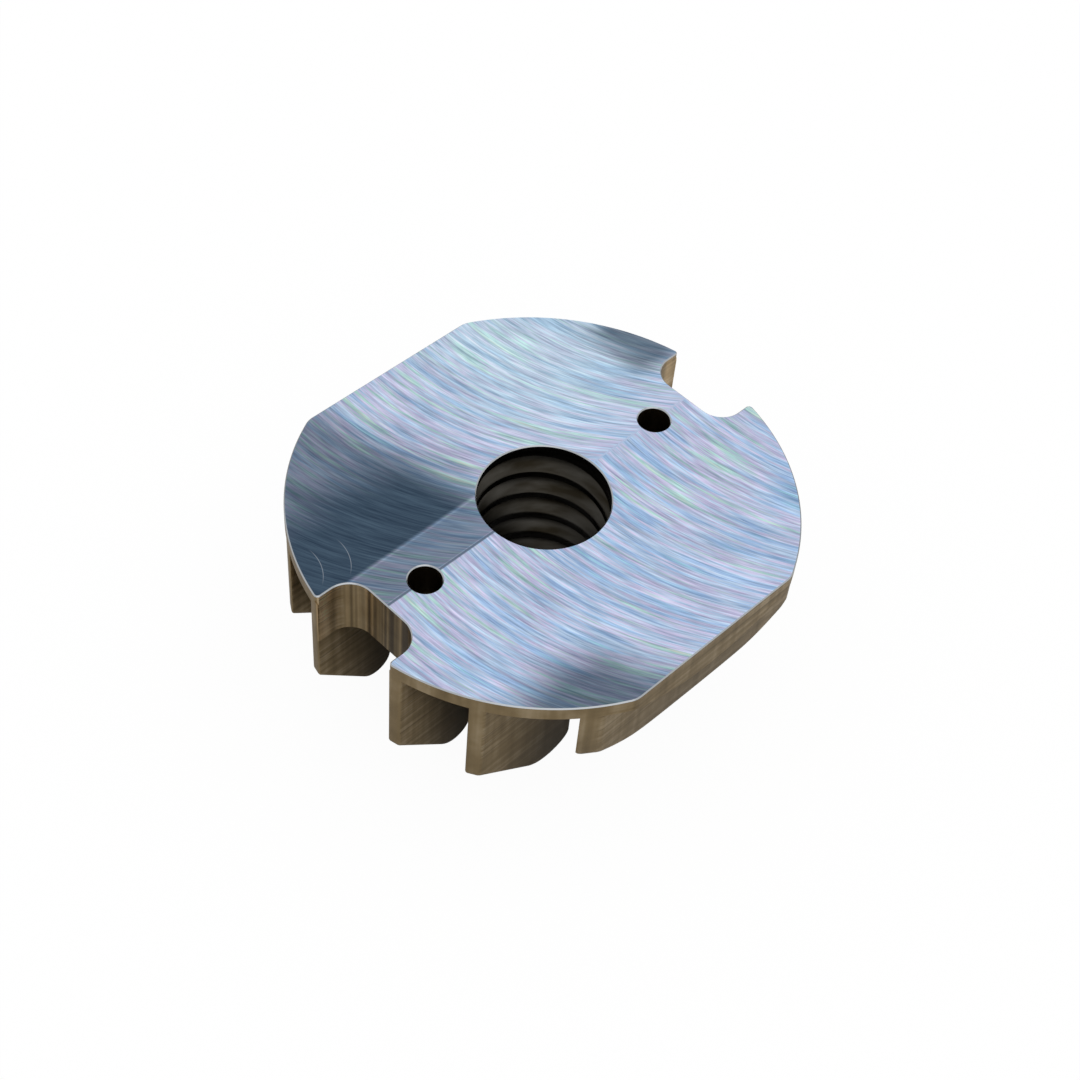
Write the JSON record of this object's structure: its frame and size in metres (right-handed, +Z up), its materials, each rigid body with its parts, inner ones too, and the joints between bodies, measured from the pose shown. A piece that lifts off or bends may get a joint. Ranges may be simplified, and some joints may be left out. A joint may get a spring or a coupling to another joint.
{
  "type": "machined mounting block",
  "caption": "Small round aluminium mounting plate with side flats, rim notches, a tapped centre hub and straight cooling-style fins underneath",
  "frame": {"origin": "centre of the bounding box's underside, on the axis of the tapped hole, in the plane that the hub and the fin toes stand on", "axes": "+Z up out of the milled face along the tapped hole, +Y along the fins and through the small holes and notches, +X across the two flats"},
  "size_m": [0.0116, 0.0124, 0.0047],
  "materials": {
    "aluminium": "face-milled, fine tool marks"
  },
  "bodies": {
    "root": {"block": "aluminium"}
  },
  "joints": []
}
